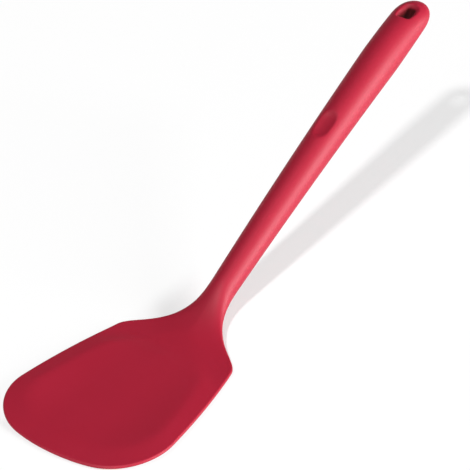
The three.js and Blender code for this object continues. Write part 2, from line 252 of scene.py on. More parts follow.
@dataclass(frozen=True)
class SiliconeFinish(Finish):
    """Satin red silicone: a slightly clouded pigment under a fine moulded grain.

    Cloud, speckle and grain are noises, each given by its scale, detail and roughness.
    Deep in the hang hole the colour darkens to a near-black red: painted shade, not the
    silicone's own colour; the surface there is rougher too.
    """

    name: str = "satin_silicone"
    deep: Triple = (0.325, 0.0064, 0.0245)
    light: Triple = (0.352, 0.0080, 0.0295)
    # Painted shade: the near-black red that the colour turns to deep inside the hang hole
    painted_shade_in_hole: Triple = (0.110, 0.0008, 0.0030)
    hollow_roughness: float = 0.95
    cloud: Triple = (28.0, 3.0, 0.55)
    speckle: Triple = (900.0, 2.0, 0.5)
    grain: Triple = (2600.0, 2.0, 0.6)
    speckle_share: float = 0.25
    roughness: float = 0.56
    cloud_swing: float = 0.08
    grain_swing: float = 0.04
    grain_strength: float = 0.10
    grain_height: float = 0.00006
    specular: float = 0.36
    subsurface: float = 0.06
    subsurface_reach: Triple = (0.0016, 0.0003, 0.0003)

    def shader(self, graph: Graph) -> Wire:
        """Adds the silicone's nodes and gives their shader."""
        place = graph.add("ShaderNodeTexCoord", output="Object")
        cloud, speckle, grain = (
            graph.noise(place, *noise) for noise in (self.cloud, self.speckle, self.grain))
        tone = cloud * (1.0 - self.speckle_share) + speckle * self.speckle_share
        pigment = graph.mix(tone, (*self.deep, 1.0), (*self.light, 1.0))
        # Painted shade: the colour darkens, and the surface roughens, with depth into the hang
        # hole
        hollow = graph.add("ShaderNodeAttribute", {"attribute_name": HOLLOW_SHADE}, output="Fac")
        colour = graph.mix(hollow, pigment, (*self.painted_shade_in_hole, 1.0))
        outside = (self.roughness + self.cloud_swing * (cloud - NOISE_MIDDLE)
                   + self.grain_swing * (grain - NOISE_MIDDLE))
        roughness = outside + hollow * (self.hollow_roughness - outside)
        bump = graph.add("ShaderNodeBump", {}, {
            "Strength": self.grain_strength, "Distance": self.grain_height, "Height": grain})
        return graph.add("ShaderNodeBsdfPrincipled", {}, {
            "Base Color": colour, "Roughness": roughness, "Normal": bump,
            "Specular IOR Level": self.specular, "Subsurface Weight": self.subsurface,
            "Subsurface Radius": self.subsurface_reach, "Subsurface Scale": 1.0})


@dataclass(frozen=True)
class SteelFinish(Finish):
    """Cold-rolled steel with a lengthwise brushed grain.

    The grain is a stretched noise, given by its scale, detail and roughness.
    """

    name: str = "brushed_core_steel"
    dark: Triple = (0.42, 0.43, 0.45)
    bright: Triple = (0.60, 0.61, 0.62)
    dark_stop: float = 0.3
    bright_stop: float = 0.7
    grain_stretch: Triple = (40.0, 1800.0, 1800.0)
    grain: Triple = (1.0, 3.0, 0.6)
    roughness: float = 0.32
    grain_swing: float = 0.16
    grain_strength: float = 0.15
    grain_height: float = 0.00003

    def shader(self, graph: Graph) -> Wire:
        """Adds the steel's nodes and gives their shader."""
        place = graph.add("ShaderNodeTexCoord", output="Object")
        along = graph.add("ShaderNodeMapping", {}, {"Vector": place, "Scale": self.grain_stretch})
        grain = graph.noise(along, *self.grain)
        stops = [(self.dark_stop, self.dark), (self.bright_stop, self.bright)]
        colour = graph.add("ShaderNodeValToRGB", {"stops": stops}, {"Fac": grain})
        bump = graph.add("ShaderNodeBump", {}, {
            "Strength": self.grain_strength, "Distance": self.grain_height, "Height": grain})
        return graph.add("ShaderNodeBsdfPrincipled", {}, {
            "Base Color": colour, "Metallic": 1.0, "Normal": bump,
            "Roughness": self.roughness + self.grain_swing * (grain - NOISE_MIDDLE)})


@dataclass(frozen=True)
class FloorFinish(Finish):
    """White studio sweep that shows as white to the camera and keeps the shadow.

    The glow's share is low only in a patch under and behind the handle, where the shadow falls.
    """

    name: str = "white_sweep"
    albedo: float = 0.95
    glow: float = 1.0
    near_share: float = 0.43
    far_share: float = 0.88
    patch_middle: Pair = (0.12, 0.004)
    patch_inner: Pair = (0.22, 0.020)
    patch_outer: Pair = (0.34, 0.036)

    def shader(self, graph: Graph) -> Wire:
        """Adds the floor's nodes and gives their shader."""
        path = graph.add("ShaderNodeLightPath", output="Is Camera Ray")
        glossy = graph.other(path, "Is Glossy Ray")
        through = graph.other(path, "Is Transmission Ray")
        seen = path.math("MAXIMUM", path, path.math("MAXIMUM", glossy, through))
        white = graph.add("ShaderNodeEmission", {}, {"Color": WHITE, "Strength": self.glow})
        paper = graph.add("ShaderNodeBsdfDiffuse", {}, {"Color": (self.albedo,) * 3 + (1.0,)})
        place = graph.add("ShaderNodeTexCoord", output="Object")
        spot = graph.add("ShaderNodeSeparateXYZ", {}, {0: place})
        along, across = (
            graph.add("ShaderNodeMapRange", {"interpolation_type": "SMOOTHSTEP"}, {
                "Value": spot.math("ABSOLUTE", graph.other(spot, axis) - middle),
                "From Min": inner, "From Max": outer,
                "To Min": self.near_share, "To Max": self.far_share})
            for axis, middle, inner, outer in zip(
                "XY", self.patch_middle, self.patch_inner, self.patch_outer))
        share = spot.math("MAXIMUM", along, across)
        return graph.add("ShaderNodeMixShader", {}, {0: seen * share, 1: paper, 2: white})


class MeshParts:
    """Points and faces that are gathered into one mesh."""

    def __init__(self) -> None:
        """Starts with nothing."""
        self.points: list[np.ndarray] = []
        self.hollow_shades: list[np.ndarray] = []
        self.faces: list[np.ndarray] = []
        self.count = 0

    def add_points(self, points: np.ndarray, hollow: np.ndarray | None = None) -> np.ndarray:
        """Adds points.

        Args:
            points: An array whose last axis is x, y, z.
            hollow: How deep in the hang hole each lies, 0 to 1, which sets its painted shade;
            none does where it isn't given.

        Returns:
            Their indices, in the shape of the array without its last axis.
        """
        flat = points.reshape(-1, 3)
        indices = np.arange(self.count, self.count + len(flat)).reshape(points.shape[:-1])
        self.points.append(flat)
        self.hollow_shades.append(np.zeros(len(flat)) if hollow is None else hollow.reshape(-1))
        self.count += len(flat)
        return indices

    def add_grid(self, grid: np.ndarray, flip: bool = False, closed: bool = False,
                 keep: np.ndarray | None = None) -> None:
        """Adds the four-sided faces of a grid of indices.

        Args:
            grid: Indices in rows and columns.
            flip: Whether the faces turn the other way.
            closed: Whether the last column joins the first.
            keep: A mask of the cells that get a face; all do where there is none.
        """
        if closed:
            grid = np.concatenate([grid, grid[:, :1]], axis=1)
        corners = [grid[:-1, :-1], grid[1:, :-1], grid[1:, 1:], grid[:-1, 1:]]
        quads = np.stack(corners[::-1] if flip else corners, axis=-1)
        self.faces.append(quads[keep] if keep is not None else quads.reshape(-1, 4))

    def mesh(self, name: str) -> Mesh:
        """Makes a smooth mesh, with faces of fewer corners where points coincide."""
        used, quads = np.unique(np.concatenate(self.faces), return_inverse=True)
        loops = [list(dict.fromkeys(quad)) for quad in quads.reshape(-1, 4).tolist()]
        faces = [loop for loop in loops if len(loop) > 2]
        mesh = bpy.data.meshes.new(name)
        mesh.from_pydata(np.concatenate(self.points)[used].tolist(), [], faces)
        # Depth into the hang hole, which the silicone turns into painted shade
        depths = mesh.attributes.new(HOLLOW_SHADE, "FLOAT", "POINT")
        depths.data.foreach_set("value", np.concatenate(self.hollow_shades)[used].astype(np.float32))
        mesh.shade_smooth()
        mesh.validate()
        return mesh


@dataclass(frozen=True)
class Spine:
    """Line that the flat layout is bent along: a level run, the heel and a shallow arch."""

    heel_start: float = 0.0896
    heel_run: float = 0.0428
    rise: float = math.radians(26.8)
    arch: float = math.radians(5.1)
    length: float = 0.340
    station_step: float = 0.00002

    def station(self, spot: Vector) -> float:
        """Finds how far along the flat layout a spot near the spine lies.

        Args:
            spot: A place in the layout's own frame, after bending.

        Returns:
            The distance from the front edge of the blade.
        """
        x = np.linspace(0.0, self.length, 1 + round(self.length / self.station_step))
        heel = np.clip(x - self.heel_start, 0.0, self.heel_run) / self.heel_run
        handle_run = self.length - self.heel_start - self.heel_run
        handle = np.clip(x - self.heel_start - self.heel_run, 0.0, None) / handle_run
        tilt = self.rise * heel - self.arch * handle
        along = np.cumsum(np.cos(tilt)) * self.station_step
        up = np.cumsum(np.sin(tilt)) * self.station_step
        return float(x[np.argmin(np.hypot(along - spot.x, up - spot.z))])

    def group(self, origin: Vector) -> NodeTree:
        """Builds the node group that bends a flat layout.

        Args:
            origin: Where the layout's own origin lies in the frame.

        Returns:
            A geometry group with a named input for each size.
        """
        graph = Graph(bpy.data.node_groups.new("bend_along_spine", "GeometryNodeTree"))
        sizes = {"Heel start": self.heel_start, "Heel run": self.heel_run, "Rise": self.rise,
                 "Arch": self.arch, "Length": self.length}
        graph.socket("Geometry", "Geometry")
        for name, size in sizes.items():
            graph.socket(name, "Float", size)
        graph.socket("Origin", "Vector", origin)
        graph.socket("Geometry", "Geometry", out=True)
        given = graph.add("NodeGroupInput", output="Geometry")
        start, heel_run, rise, arch, length, shift = (
            graph.other(given, name) for name in (*sizes, "Origin"))
        flat = graph.add("ShaderNodeSeparateXYZ", {}, {0: graph.add("GeometryNodeInputPosition")})
        x, y, z = (graph.other(flat, axis) for axis in "XYZ")

        heel = x.math("MINIMUM", x.math("MAXIMUM", x - start, 0.0), heel_run)
        handle = x.math("MAXIMUM", x - start - heel_run, 0.0)
        handle_run = length - start - heel_run
        heel_turn = rise * heel / heel_run
        arch_turn = arch * handle / handle_run
        heel_chord = 2.0 * heel_run / rise * x.math("SINE", heel_turn * 0.5)
        arch_chord = 2.0 * handle_run / arch * x.math("SINE", arch_turn * 0.5)
        arch_heading = heel_turn - arch_turn * 0.5
        tilt = heel_turn - arch_turn

        along = (x.math("MINIMUM", x, start) + heel_chord * x.math("COSINE", heel_turn * 0.5)
                 + arch_chord * x.math("COSINE", arch_heading) - z * x.math("SINE", tilt))
        up = (heel_chord * x.math("SINE", heel_turn * 0.5)
              + arch_chord * x.math("SINE", arch_heading) + z * x.math("COSINE", tilt))
        bent = graph.add("ShaderNodeCombineXYZ", {}, {"X": along, "Y": y, "Z": up})
        placed = graph.add("ShaderNodeVectorMath", {"operation": "ADD"}, {0: bent, 1: shift})
        moved = graph.add("GeometryNodeSetPosition", {}, {"Geometry": given, "Position": placed})
        graph.add("NodeGroupOutput", {}, {"Geometry": moved})
        return graph.tree


@dataclass(frozen=True)
class TurnerPlan:
    """Outline and sections of the turner laid flat, from its front edge at x = 0 to the tail."""

    length: float = 0.33998
    blade_length: float = 0.0954
    neck_length: float = 0.0471
    blade_width: float = 0.0916
    front_radius: float = 0.1033
    corner_radius: float = 0.0298
    side_radius: float = 0.404
    shoulder_width: float = 0.0704
    shoulder_radius: float = 0.0094
    shoulder_turn: float = math.radians(20.6)
    shoulder_pull: float = 0.241
    neck_pull: float = 0.69
    blade_thickness: float = 0.0034
    edge_thickness: float = 0.0018
    blade_swell: float = 0.0005
    border_width: float = 0.0115
    shoulder_border: float = 0.020
    border_fade: float = 0.020
    crease_softness: float = 0.25
    flat_width: float = 0.022
    side_rise: float = 0.0025
    neck_width: float = 0.0142
    neck_depth: float = 0.0137
    handle_width: float = 0.0211
    handle_depth: float = 0.0192
    widest_from_tail: float = 0.0439
    tail_rounding: float = 0.0153
    tail_taper: float = 0.0497
    tail_plan_power: float = 2.51
    tail_taper_power: float = 2.4
    thumb_from_tail: float = 0.0974
    thumb_length: float = 0.0172
    thumb_width: float = 0.0090
    thumb_bluntness: float = 3.6
    thumb_sag: float = 0.0007
    thumb_lift: float = 0.006
    thumb_rim: float = 0.0005
    hole_from_tail: float = 0.01335
    hole_length: float = 0.0107
    hole_width: float = 0.0053
    hole_corner: float = 0.0015
    hole_far_radius: float = 0.0018
    hole_flare: float = 0.0022
    near_flare: float = 0.35
    flare_start: float = 0.38
    flare_end: float = 0.75
    flare_turns: Pair = (1.5, 2.6)

    @property
    def neck_end(self) -> float:
        """Where the neck passes into the handle."""
        return self.blade_length + self.neck_length

    @property
    def corner_x(self) -> float:
        """Where the centre of the front corner's round lies along the blade."""
        reach = self.front_radius - self.corner_radius
        aside = self.blade_width / 2 - self.corner_radius
        return self.front_radius - math.sqrt(reach ** 2 - aside ** 2)

    @property
    def widest_at(self) -> float:
        """Where the handle is widest."""
        return self.length - self.widest_from_tail

    @property
    def hole_near(self) -> float:
        """Where the hang hole's straight near edge lies."""
        return self.length - self.hole_from_tail - self.hole_length / 2

    def half_width(self, x: Any) -> Any:
        """Half the handle's width at a place along it."""
        return self._swelling(x, self.neck_width, self.handle_width) * self._closing(
            x, self.tail_rounding, self.tail_plan_power)

    def half_depth(self, x: Any) -> Any:
        """Half the handle's depth at a place along it."""
        return self._swelling(x, self.neck_depth, self.handle_depth) * self._closing(
            x, self.tail_taper, self.tail_taper_power)

    def _swelling(self, x: Any, at_neck: float, at_widest: float) -> Any:
        """Half of a size that grows evenly from the neck to the widest place."""
        share = np.clip((x - self.neck_end) / (self.widest_at - self.neck_end), 0.0, 1.0)
        return lerp(at_neck, at_widest, share) / 2

    def _closing(self, x: Any, run: float, power: float) -> Any:
        """Share of a size that is left where the tail rounds off."""
        return np.sqrt(1.0 - np.clip((x - self.length + run) / run, 0.0, 1.0) ** power)

    def crown(self, x: np.ndarray, y: np.ndarray) -> np.ndarray:
        """Height of the handle's round top at places in plan, 0 on the outline."""
        width = np.maximum(self.half_width(x), TINY)
        return self.half_depth(x) * np.sqrt(np.clip(1.0 - (y / width) ** 2, 0.0, 1.0))

    def thumb_hollow(self, x: np.ndarray, y: np.ndarray, top: np.ndarray) -> np.ndarray:
        """Sinks the thumb rest into the handle's top.

        Args:
            x: Places along the handle.
            y: Places across it.
            top: Heights of the top there.

        Returns:
            The heights with the hollow, whose rim is slightly rounded.
        """
        centre = self.length - self.thumb_from_tail
        crest = self.half_depth(centre)
        half = self.thumb_width / 2
        rim_drop = crest * (1 - math.sqrt(1 - (half / self.half_width(centre)) ** 2))
        reach = self.thumb_lift + rim_drop + self.thumb_sag
        end_share = (1 - (self.thumb_lift / reach) ** 2) ** (1 / self.thumb_bluntness)
        half_length = self.thumb_length / 2 / end_share
        half_width = half / math.sqrt(1 - ((self.thumb_lift + rim_drop) / reach) ** 2)
        along = np.abs((x - centre) / half_length) ** self.thumb_bluntness
        inside = 1.0 - along - (y / half_width) ** 2
        bowl = crest + self.thumb_lift - reach * np.sqrt(np.maximum(inside, 0.0))
        sunk = (top + bowl - np.sqrt((top - bowl) ** 2 + self.thumb_rim ** 2)) / 2
        return np.where(inside > 0.0, sunk, top)

    def blade_edge(self) -> tuple[np.ndarray, np.ndarray, np.ndarray]:
        """Works out one side of the blade's outline.

        Returns:
            Fine polylines of the blade edge up to the shoulder, of the shoulder's round and of
            the neck.
        """
        corner = np.array([self.corner_x, self.blade_width / 2 - self.corner_radius])
        shoulder = np.array([self.blade_length, self.shoulder_width / 2])
        front = np.array([self.front_radius, 0.0])
        side = triangulated(
            corner, self.side_radius - self.corner_radius, shoulder, self.side_radius)
        front_facing = facing(front, corner)
        side_facing = facing(side, corner)
        shoulder_facing = facing(side, shoulder)
        neck_facing = QUARTER_TURN - self.shoulder_turn
        half_turn = (shoulder_facing - neck_facing) / 2
        fillet = shoulder - self.shoulder_radius / math.cos(half_turn) * np.array(
            [math.cos(neck_facing + half_turn), math.sin(neck_facing + half_turn)])
        shoulder_round = arc(fillet, self.shoulder_radius, shoulder_facing, neck_facing)
        blade = np.concatenate([
            arc(front, self.front_radius, math.pi, front_facing),
            arc(corner, self.corner_radius, front_facing, side_facing)[1:],
            arc(side, self.side_radius, side_facing, facing(side, shoulder_round[0]))[1:]])

        neck_from = shoulder_round[-1]
        neck_to = np.array([self.neck_end, self.neck_width / 2])
        pull = self.neck_end - neck_from[0]
        slope = (self.handle_width - self.neck_width) / 2 / (self.widest_at - self.neck_end)
        turned = np.array([math.cos(self.shoulder_turn), -math.sin(self.shoulder_turn)])
        hold_from = neck_from + self.shoulder_pull * pull * turned
        hold_to = neck_to - self.neck_pull * pull * np.array([1.0, slope])
        share = np.linspace(0.0, 1.0, CURVE_POINTS)[:, None]
        rest = 1.0 - share
        neck = (rest ** 3 * neck_from + 3 * rest ** 2 * share * hold_from
                + 3 * rest * share ** 2 * hold_to + share ** 3 * neck_to)
        return blade, shoulder_round, neck

    def blade_faces(self, edge_x: float, y: np.ndarray,
                    inset: np.ndarray) -> tuple[np.ndarray, np.ndarray]:
        """Heights of the blade's faces along one rib.

        Args:
            edge_x: Where the rib meets the edge, along the turner.
            y: Places across the blade.
            inset: Distances in from the edge.

        Returns:
            Heights of the upper and the lower face.
        """
        edge = self.edge_thickness / 2
        beyond = np.maximum(np.abs(y) - self.flat_width / 2, 0.0)
        rise = self.side_rise * (beyond / ((self.blade_width - self.flat_width) / 2)) ** 2
        fade = smoothstep(edge_x, self.blade_length - self.border_fade, self.blade_length)
        climb = inset / lerp(self.border_width, self.shoulder_border, fade)
        border = (climb + 1.0 - np.hypot(climb - 1.0, self.crease_softness)) / 2
        thickness = lerp(self.edge_thickness, self.blade_thickness, border)
        rounding = np.sqrt(1.0 - np.maximum(1.0 - inset / edge, 0.0) ** 2)
        middle = rise + (thickness - self.blade_thickness) / 2
        half = thickness / 2 * rounding
        return middle + half + self.blade_swell * (1.0 - fade) * border, middle - half

    def hole_rim(self, turn: np.ndarray, height: np.ndarray) -> np.ndarray:
        """Plan of half the hang hole's wall at given heights.

        Args:
            turn: Place round the hole, 0 to 5: near edge, corner, side, far corner and far edge.
            height: Height above the middle plane, negative below it.

        Returns:
            Plan points, x and y.
        """
        mouth = self.half_depth(self.hole_near)
        flare = self.hole_flare * smoothstep(
            height, self.flare_start * mouth, self.flare_end * mouth)
        sideways = lerp(self.near_flare, 1.0, smoothstep(turn, *self.flare_turns))
        half = self.hole_width / 2 + flare * sideways
        far_radius = self.hole_far_radius + flare
        near, corner, side, far, end = (np.clip(turn - k, 0.0, 1.0) for k in range(HOLE_RUNS))
        corner_angle = corner * QUARTER_TURN
        far_angle = far * QUARTER_TURN
        side_run = self.hole_length - self.hole_corner - self.hole_far_radius
        x = (self.hole_near + self.hole_corner * (1 - np.cos(corner_angle))
             + side_run * side + far_radius * np.sin(far_angle))
        y = ((half - self.hole_corner) * near + self.hole_corner * np.sin(corner_angle)
             - far_radius * (1 - np.cos(far_angle)) - (half - far_radius) * end)
        return np.stack([x, y], axis=-1)


@dataclass
class SiliconeSkin:
    """The one-piece silicone body: blade, neck and handle with its thumb rest and hang hole."""

    plan: TurnerPlan
    bend: NodeTree
    finish: Material
    plug_places: list[float]
    name: str = "silicone_body"
    blade_ribs: int = 200
    shoulder_ribs: int = 20
    neck_ribs: int = 80
    handle_ribs: int = 190
    inner_steps: int = 24
    rim_steps: int = 10
    crowding: float = 1.5
    tail_start: float = 0.3155
    tail_ribs: int = 60
    straight_points: int = 40
    round_points: int = 400
    cut_turn: float = 1.5
    collar_rows: int = 22
    round_rows: int = 8
    wall_rows: int = 8
    near_rounding: float = 0.0003
    side_rounding: float = 0.0014
    rounding_turns: Pair = (0.9, 2.0)
    rounding_cap: float = 0.5
    # Depth below the hole's lip over which the painted shade deepens to full
    hollow_shade_reach: float = 0.0026
    pin_hole_radius: float = 0.0025
    pin_hole_depth: float = 0.0012
    pin_patch_reach: float = 0.0052
    pin_patch_margin: float = 1.6
    pin_patch_rows: int = 6
    parts: MeshParts = field(default_factory=MeshParts)

    @property
    def half_steps(self) -> int:
        """Steps from the middle line to the edge."""
        return self.inner_steps + self.rim_steps

    def build(self) -> Object:
        """Builds the body in its place."""
        upper, lower = self._loft()
        self._tail(upper[-1], lower[-1])
        body = linked(self.name, self.parts.mesh(self.name))
        return bent_piece(body, self.bend, self.finish)

    def edge(self) -> np.ndarray:
        """Gives one side's outline from the front of the blade to the tail's cut.

        Returns:
            Rows of the rib's root on the middle line and its end on the edge, x, x and y.
        """
        blade, shoulder, neck = self.plan.blade_edge()
        blade = resampled(blade, self.blade_ribs)
        roots = np.linspace(self.plan.corner_x, blade[-1, 0], self.blade_ribs + 1)
        handle_x = np.linspace(self.plan.neck_end, self.tail_start, self.handle_ribs + 1)[1:]
        square = np.concatenate([
            resampled(shoulder, self.shoulder_ribs)[1:],
            resampled(neck, self.neck_ribs)[1:],
            np.stack([handle_x, self.plan.half_width(handle_x)], axis=1)])
        fan_rows = np.column_stack([roots, blade])
        square_rows = np.column_stack([square[:, 0], square])
        return np.concatenate([fan_rows, square_rows])

    def rib(self, root: float, edge_x: float, edge_y: float) -> dict[Face, np.ndarray]:
        """Works out one rib.

        Args:
            root: Where the rib leaves the middle line.
            edge_x: Where it meets the edge, along the turner.
            edge_y: Where it meets the edge, across the turner.

        Returns:
            Points from the middle line to the edge on each face.
        """
        plan = self.plan
        span = math.hypot(edge_x - root, edge_y)
        roundness = float(smoothstep(edge_x, plan.blade_length, plan.neck_end))
        step = np.arange(self.half_steps + 1)
        inner = np.minimum(step / self.inner_steps, 1.0)
        outer = np.maximum(step - self.inner_steps, 0) / self.rim_steps
        rim = min(plan.edge_thickness / 2 / span, 1.0)
        crowded = 1 - (1 - inner) ** self.crowding
        flat_share = (1 - rim) * crowded + rim * np.sin(outer * QUARTER_TURN)
        share = lerp(flat_share, np.sin(step / self.half_steps * QUARTER_TURN), roundness)
        share[-1] = 1.0
        x = lerp(root, edge_x, share)
        y = edge_y * share
        flat_upper, flat_lower = plan.blade_faces(edge_x, y, span * (1 - share))
        in_neck = lerp(plan.blade_thickness, plan.neck_depth, roundness) / 2
        depth = in_neck if edge_x < plan.neck_end else float(plan.half_depth(edge_x))
        crown = depth * np.sqrt(1 - share ** 2)
        upper = plan.thumb_hollow(x, y, lerp(flat_upper, crown, roundness))
        lower = lerp(flat_lower, -crown, roundness)
        heights = {Face.UPPER: upper, Face.LOWER: lower}
        return {face: np.stack([x, y, height], axis=1) for face, height in heights.items()}

    def _loft(self) -> tuple[np.ndarray, np.ndarray]:
        """Makes the body from the front edge to the tail's cut.

        Returns:
            Index grids of the upper and the lower face, ribs by columns from side to side.
        """
        ribs = [self.rib(*row) for row in self.edge()]
        steps = self.half_steps
        grids = {}
        for face in Face:
            half = np.array([rib[face] for rib in ribs])
            mirrored = half[:, :0:-1] * MIRROR
            grids[face] = self.parts.add_points(np.concatenate([mirrored, half], axis=1))
        upper, lower = grids[Face.UPPER], grids[Face.LOWER]
        lower[:, 0] = upper[:, 0]
        lower[:, -1] = upper[:, -1]
        for grid in (upper, lower):
            grid[0, :steps] = grid[0, :steps:-1]
        self.parts.add_grid(upper)
        self.parts.add_grid(lower, flip=True, keep=self._pin_patches(ribs, lower))
        return upper, lower

    def _pin_patches(self, ribs: list[dict[Face, np.ndarray]], lower: np.ndarray) -> np.ndarray:
        """Lets a round recess for each mould pin into the lower face.

        Args:
            ribs: The ribs of the loft.
            lower: Index grid of the lower face.

        Returns:
            A mask of the lower face's cells that stay.
        """
        steps = self.half_steps
        keep = np.ones((lower.shape[0] - 1, lower.shape[1] - 1), bool)
        roots = np.array([rib[Face.LOWER][0, 0] for rib in ribs])
        points = np.concatenate(self.parts.points)
        for place in self.plug_places:
            margin = self.pin_patch_margin * self.pin_patch_reach
            near = np.flatnonzero(np.abs(roots - place) < margin)
            first, last = near[0], near[-1]
            rib = ribs[first][Face.LOWER][:, :2]
            across = np.linalg.norm(rib - rib[0], axis=1)
            reach = int(np.searchsorted(across, self.pin_patch_reach))
            low, high = steps - reach, steps + reach
            keep[first:last, low:high] = False
            loop = np.concatenate([
                lower[first, low:high], lower[first:last, high],
                lower[last, high:low:-1], lower[last:first:-1, low]])
            self._pin_recess(place, points[loop], loop)
        return keep

    def _pin_recess(self, place: float, border: np.ndarray, loop: np.ndarray) -> None:
        """Fills the gap left for one mould pin with a collar and a closed round recess.

        Args:
            place: The pin's place along the turner.
            border: Points round the gap.
            loop: Their indices.
        """
        angles = np.arctan2(border[:, 1], border[:, 0] - place)
        rim = np.stack([place + self.pin_hole_radius * np.cos(angles),
                        self.pin_hole_radius * np.sin(angles)], axis=1)
        shares = np.linspace(0.0, 1.0, self.pin_patch_rows + 1)[1:, None, None]
        collar = lerp(border[None, :, :2], rim[None], shares)
        collar = np.concatenate([collar, self.under(collar)[..., None]], axis=-1)
        wall = collar[-1:] + np.array([0.0, 0.0, self.pin_hole_depth])
        rows = np.concatenate([loop[None], self.parts.add_points(np.concatenate([collar, wall]))])
        floor = self.parts.add_points(np.array([[place, 0.0, wall[0, :, 2].mean()]]))
        rows = np.concatenate([rows, np.repeat(floor[None], rows.shape[1], axis=1)])
        self.parts.add_grid(rows, flip=True, closed=True)

    def under(self, plan_points: np.ndarray) -> np.ndarray:
        """Height of the lower face near the middle line of the blade or the handle."""
        x, y = plan_points[..., 0], plan_points[..., 1]
        plan = self.plan
        return np.where(x < plan.blade_length, -plan.blade_thickness / 2, -plan.crown(x, y))

    def _tail(self, upper_end: np.ndarray, lower_end: np.ndarray) -> None:
        """Closes the tail round the hang hole.

        Args:
            upper_end: Indices of the loft's last row on the upper face, from side to side.
            lower_end: The same on the lower face.
        """
        plan = self.plan
        steps = self.half_steps
        closing = plan.length - plan.tail_rounding
        straight_x = np.linspace(self.tail_start, closing, self.straight_points)
        round_angles = np.linspace(0.0, QUARTER_TURN, self.round_points)
        round_x = closing + plan.tail_rounding * np.sin(round_angles)
        fine_x = np.concatenate([straight_x, round_x[1:]])
        outline = resampled(np.stack([fine_x, plan.half_width(fine_x)], axis=1), self.tail_ribs)
        spread = np.sin(np.arange(steps + 1) / steps * QUARTER_TURN)
        across = spread * plan.half_width(self.tail_start)
        cut = np.stack([np.full(steps + 1, self.tail_start), across], axis=1)
        outer = np.concatenate([cut, outline[1:]])
        turn = np.concatenate([
            np.linspace(0.0, self.cut_turn, steps + 1),
            np.linspace(self.cut_turn, HOLE_RUNS, self.tail_ribs + 1)[1:]])

        rings = {}
        for face in Face:
            half = self._collar(outer, turn, face)
            mirrored = half[:, -2:0:-1] * MIRROR
            ring = np.concatenate([half, mirrored], axis=1)
            # Depth below the lip sets how much painted shade each point of the hole's wall gets
            lip = ring[self.collar_rows, :, 2]
            sunk = np.abs(lip) - np.abs(ring[..., 2])
            sunk[:self.collar_rows] = 0.0
            rings[face] = self.parts.add_points(ring, smoothstep(sunk, 0.0, self.hollow_shade_reach))
        top, bottom = rings[Face.UPPER], rings[Face.LOWER]
        bottom[-1] = top[-1]
        bottom[0] = top[0]
        columns = np.concatenate([np.arange(steps + 1), np.arange(-steps, 0)])
        for rows, end in ((top, upper_end), (bottom, lower_end)):
            rows[0, columns] = end[steps + columns]
            self.parts.add_grid(rows, flip=rows is bottom, closed=True)

    def _collar(self, outer: np.ndarray, turn: np.ndarray, side: Face) -> np.ndarray:
        """Works out half of one face of the tail and the hole's wall to the middle plane.

        Args:
            outer: Plan points round the outside.
            turn: The place round the hole that each of them faces.
            side: The face.

        Returns:
            Points in rows from the outside to the middle of the wall.
        """
        plan = self.plan
        up = side.value
        low = np.zeros_like(turn)
        high = np.full_like(turn, plan.handle_depth / 2)
        for _ in range(BISECTIONS):
            middle = (low + high) / 2
            rim = plan.hole_rim(turn, up * middle)
            inside = plan.crown(rim[:, 0], rim[:, 1]) > middle
            low = np.where(inside, middle, low)
            high = np.where(inside, high, middle)
        mouth = np.column_stack([plan.hole_rim(turn, up * low), low])

        side_rounding = self.side_rounding if side is Face.UPPER else self.near_rounding
        rounding = lerp(self.near_rounding, side_rounding, smoothstep(turn, *self.rounding_turns))
        apart = outer - mouth[:, :2]
        share = np.minimum(rounding / np.linalg.norm(apart, axis=1), self.rounding_cap)[:, None]
        shoulder = mouth[:, :2] + apart * share
        shoulder = np.column_stack([shoulder, plan.crown(shoulder[:, 0], shoulder[:, 1])])
        throat_height = low - rounding
        throat = np.column_stack([plan.hole_rim(turn, up * throat_height), throat_height])

        spread = 1.0 - np.cos(np.linspace(0.0, QUARTER_TURN, self.collar_rows + 1))
        face = lerp(outer[None], shoulder[None, :, :2], spread[:, None, None])
        height = plan.crown(face[..., 0], face[..., 1])
        face = np.concatenate([face, height[..., None]], axis=-1)
        t = np.linspace(0.0, 1.0, self.round_rows + 1)[1:, None, None]
        edge = (1 - t) ** 2 * shoulder + 2 * t * (1 - t) * mouth + t ** 2 * throat
        down = np.linspace(1.0, 0.0, self.wall_rows + 1)[1:, None] * throat_height
        wall = np.stack([np.column_stack([plan.hole_rim(turn, up * row), row]) for row in down])
        return np.concatenate([face, edge, wall]) * np.array([1.0, 1.0, up])


@dataclass
class PartingLine:
    """Fine line left along the sides of the neck and handle where the mould halves met."""

    skin: SiliconeSkin
    bend: NodeTree
    finish: Material
    name: str = "parting_line"
    bead_radius: float = 0.00016
    sunk: float = 0.00008
    sides: int = 6
    start: float = 0.104
    end: float = 0.3145

    def build(self) -> Object:
        """Builds both lines in their place."""
        edge = self.skin.edge()
        edge = edge[(edge[:, 1] > self.start) & (edge[:, 1] < self.end)][::2]
        points, edges = [], []
        for side in (1.0, -1.0):
            first = len(points)
            for root, x, y in edge:
                height = self.skin.rib(root, x, y)[Face.UPPER][-1, 2]
                points.append((x, side * (y - self.sunk), height))
            edges += [(k, k + 1) for k in range(first, len(points) - 1)]
        mesh = bpy.data.meshes.new(self.name)
        mesh.from_pydata(points, edges, [])
        return bent_piece(linked(self.name, mesh), self.bend, self.finish, self._bead)

    def _bead(self, graph: Graph, geometry: Wire) -> Wire:
        """Sweeps a round bead along the lines."""
        path = graph.add("GeometryNodeMeshToCurve", {}, {"Mesh": geometry})
        circle = graph.add("GeometryNodeCurvePrimitiveCircle", {}, {
            "Resolution": self.sides, "Radius": self.bead_radius})
        bead = graph.add("GeometryNodeCurveToMesh", {}, {
            "Curve": path, "Profile Curve": circle, "Fill Caps": True})
        return graph.add("GeometryNodeSetShadeSmooth", {}, {"Geometry": bead})


